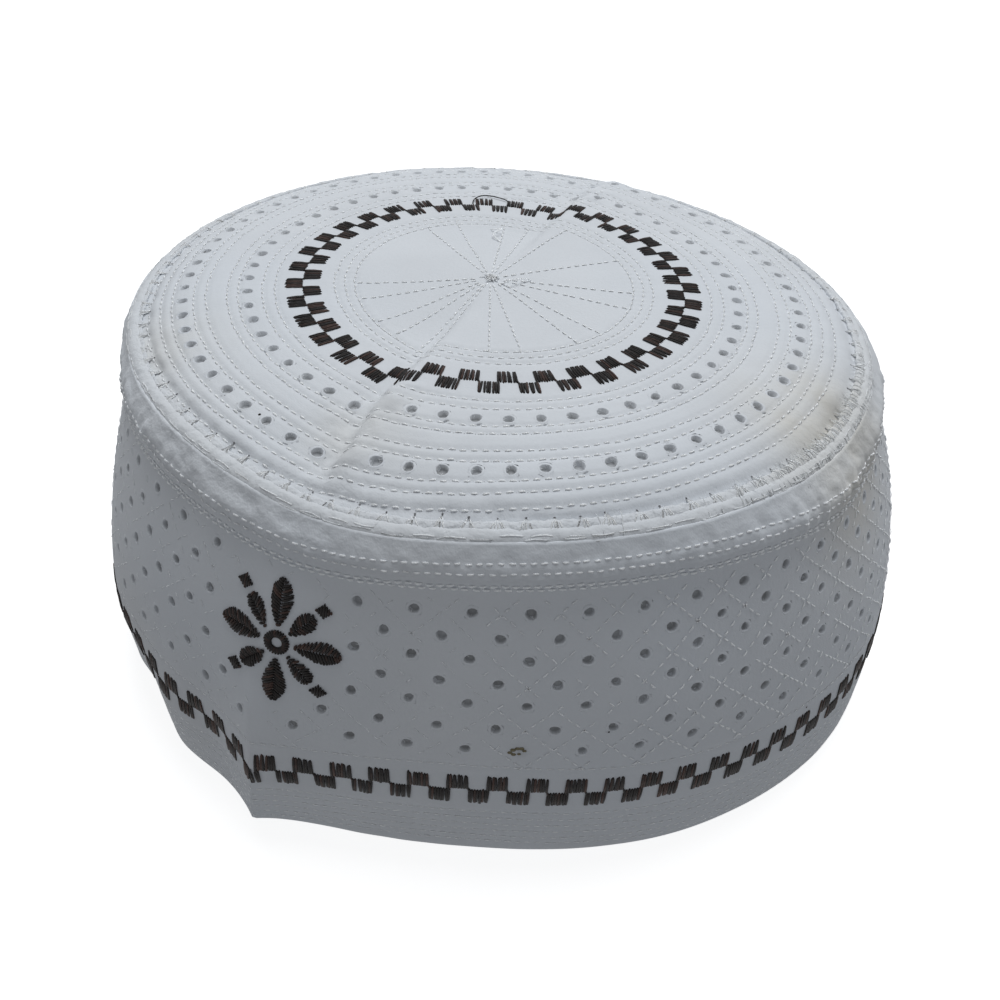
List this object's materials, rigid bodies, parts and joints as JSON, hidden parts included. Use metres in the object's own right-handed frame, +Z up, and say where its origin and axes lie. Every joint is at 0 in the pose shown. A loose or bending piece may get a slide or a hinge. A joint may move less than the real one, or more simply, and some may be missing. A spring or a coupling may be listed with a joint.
{
  "type": "round quilted cotton prayer cap",
  "caption": "Open round cap of stiff quilted white cotton: a nearly flat round crown, a raised over-sewn seam and a tall side band that flares to an open hem, with an old storage fold.",
  "frame": {"origin": "on the surface the hem stands on, under the middle of the cap's outline", "axes": "+Z up through the crown, -Y towards the camera of the picture, +X to the right of the picture"},
  "size_m": [0.1858, 0.1828, 0.0843],
  "materials": {
    "white_cotton": "starched matt cotton, quilted in rows",
    "seam_thread": "over-sewn cotton ridge, slightly fuzzy",
    "white_thread": "soft sheen sewing thread",
    "dark_thread": "satin embroidery thread"
  },
  "bodies": {
    "root": {"crown_top": "white_cotton", "crown_seam": "seam_thread", "side_band": "white_cotton"}
  },
  "joints": []
}
